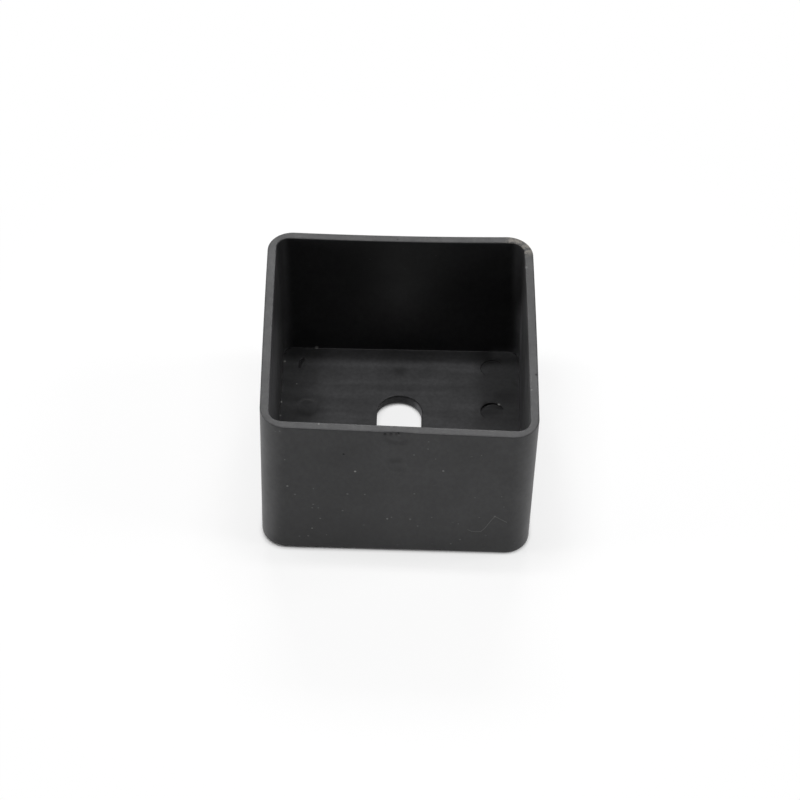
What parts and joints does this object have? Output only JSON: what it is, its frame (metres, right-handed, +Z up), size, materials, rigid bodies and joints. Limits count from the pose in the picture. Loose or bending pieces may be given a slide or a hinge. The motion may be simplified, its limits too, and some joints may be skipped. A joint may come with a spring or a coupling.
{
  "type": "rubber foot",
  "caption": "Square slip-on rubber foot: an open-topped cup with thin drafted walls and a slotted sole, for the end of a square tube leg.",
  "frame": {"origin": "centre of the sole's underside, where the foot rests", "axes": "+Z up from the sole to the open mouth; the slot runs along Y; the moulding gate is on the -Y wall"},
  "size_m": [0.054, 0.054, 0.0355],
  "materials": {
    "rubber": "satin moulded black rubber"
  },
  "bodies": {
    "root": {"foot": "rubber"}
  },
  "joints": []
}
